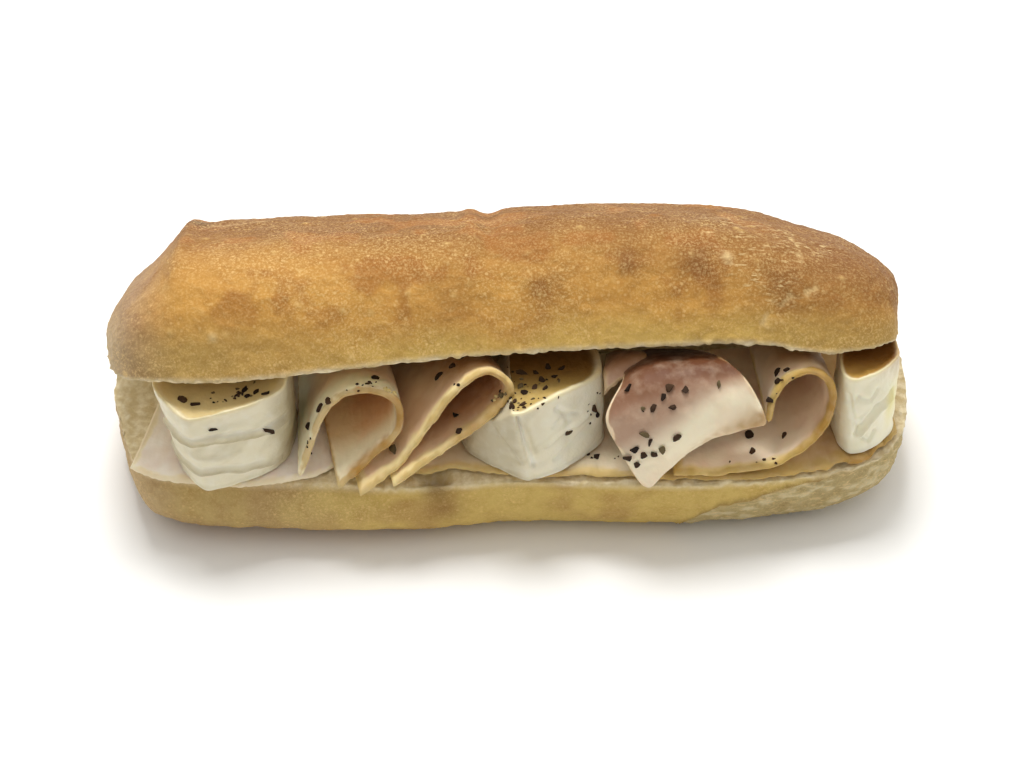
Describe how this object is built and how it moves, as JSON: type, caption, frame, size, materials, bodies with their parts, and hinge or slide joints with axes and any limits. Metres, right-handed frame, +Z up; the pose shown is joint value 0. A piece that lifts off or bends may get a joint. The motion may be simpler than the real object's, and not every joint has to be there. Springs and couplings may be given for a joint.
{
  "type": "submarine sandwich",
  "caption": "Submarine sandwich: an opened crusty bread roll with folded ham slices, soft white-rind cheese and cracked pepper, lying on its flat base",
  "frame": {"origin": "middle of the base, on the surface that the roll lies on", "axes": "+X along the roll to the right, +Y to the closed back, -Y to the open front, +Z up"},
  "size_m": [0.223, 0.0844, 0.0796],
  "materials": {
    "crust": "baked golden crust with fine pale speckles, pale crumb on the cut faces",
    "ham": "moist cooked ham, pale pink with golden-brown rims",
    "cheese": "soft white rind with creases, pale yellow paste on the cut top",
    "pepper": "cracked black pepper flakes"
  },
  "bodies": {
    "root": {"bread_bottom": "crust", "bread_top": "crust", "cheese_1": "cheese", "cheese_2": "cheese", "cheese_3": "cheese", "ham_roll_1": "ham", "ham_roll_2": "ham", "ham_roll_3": "ham", "ham_roll_4": "ham", "ham_fold": "ham", "ham_base_left": "ham", "ham_base_middle": "ham", "ham_base_right": "ham"}
  },
  "joints": []
}
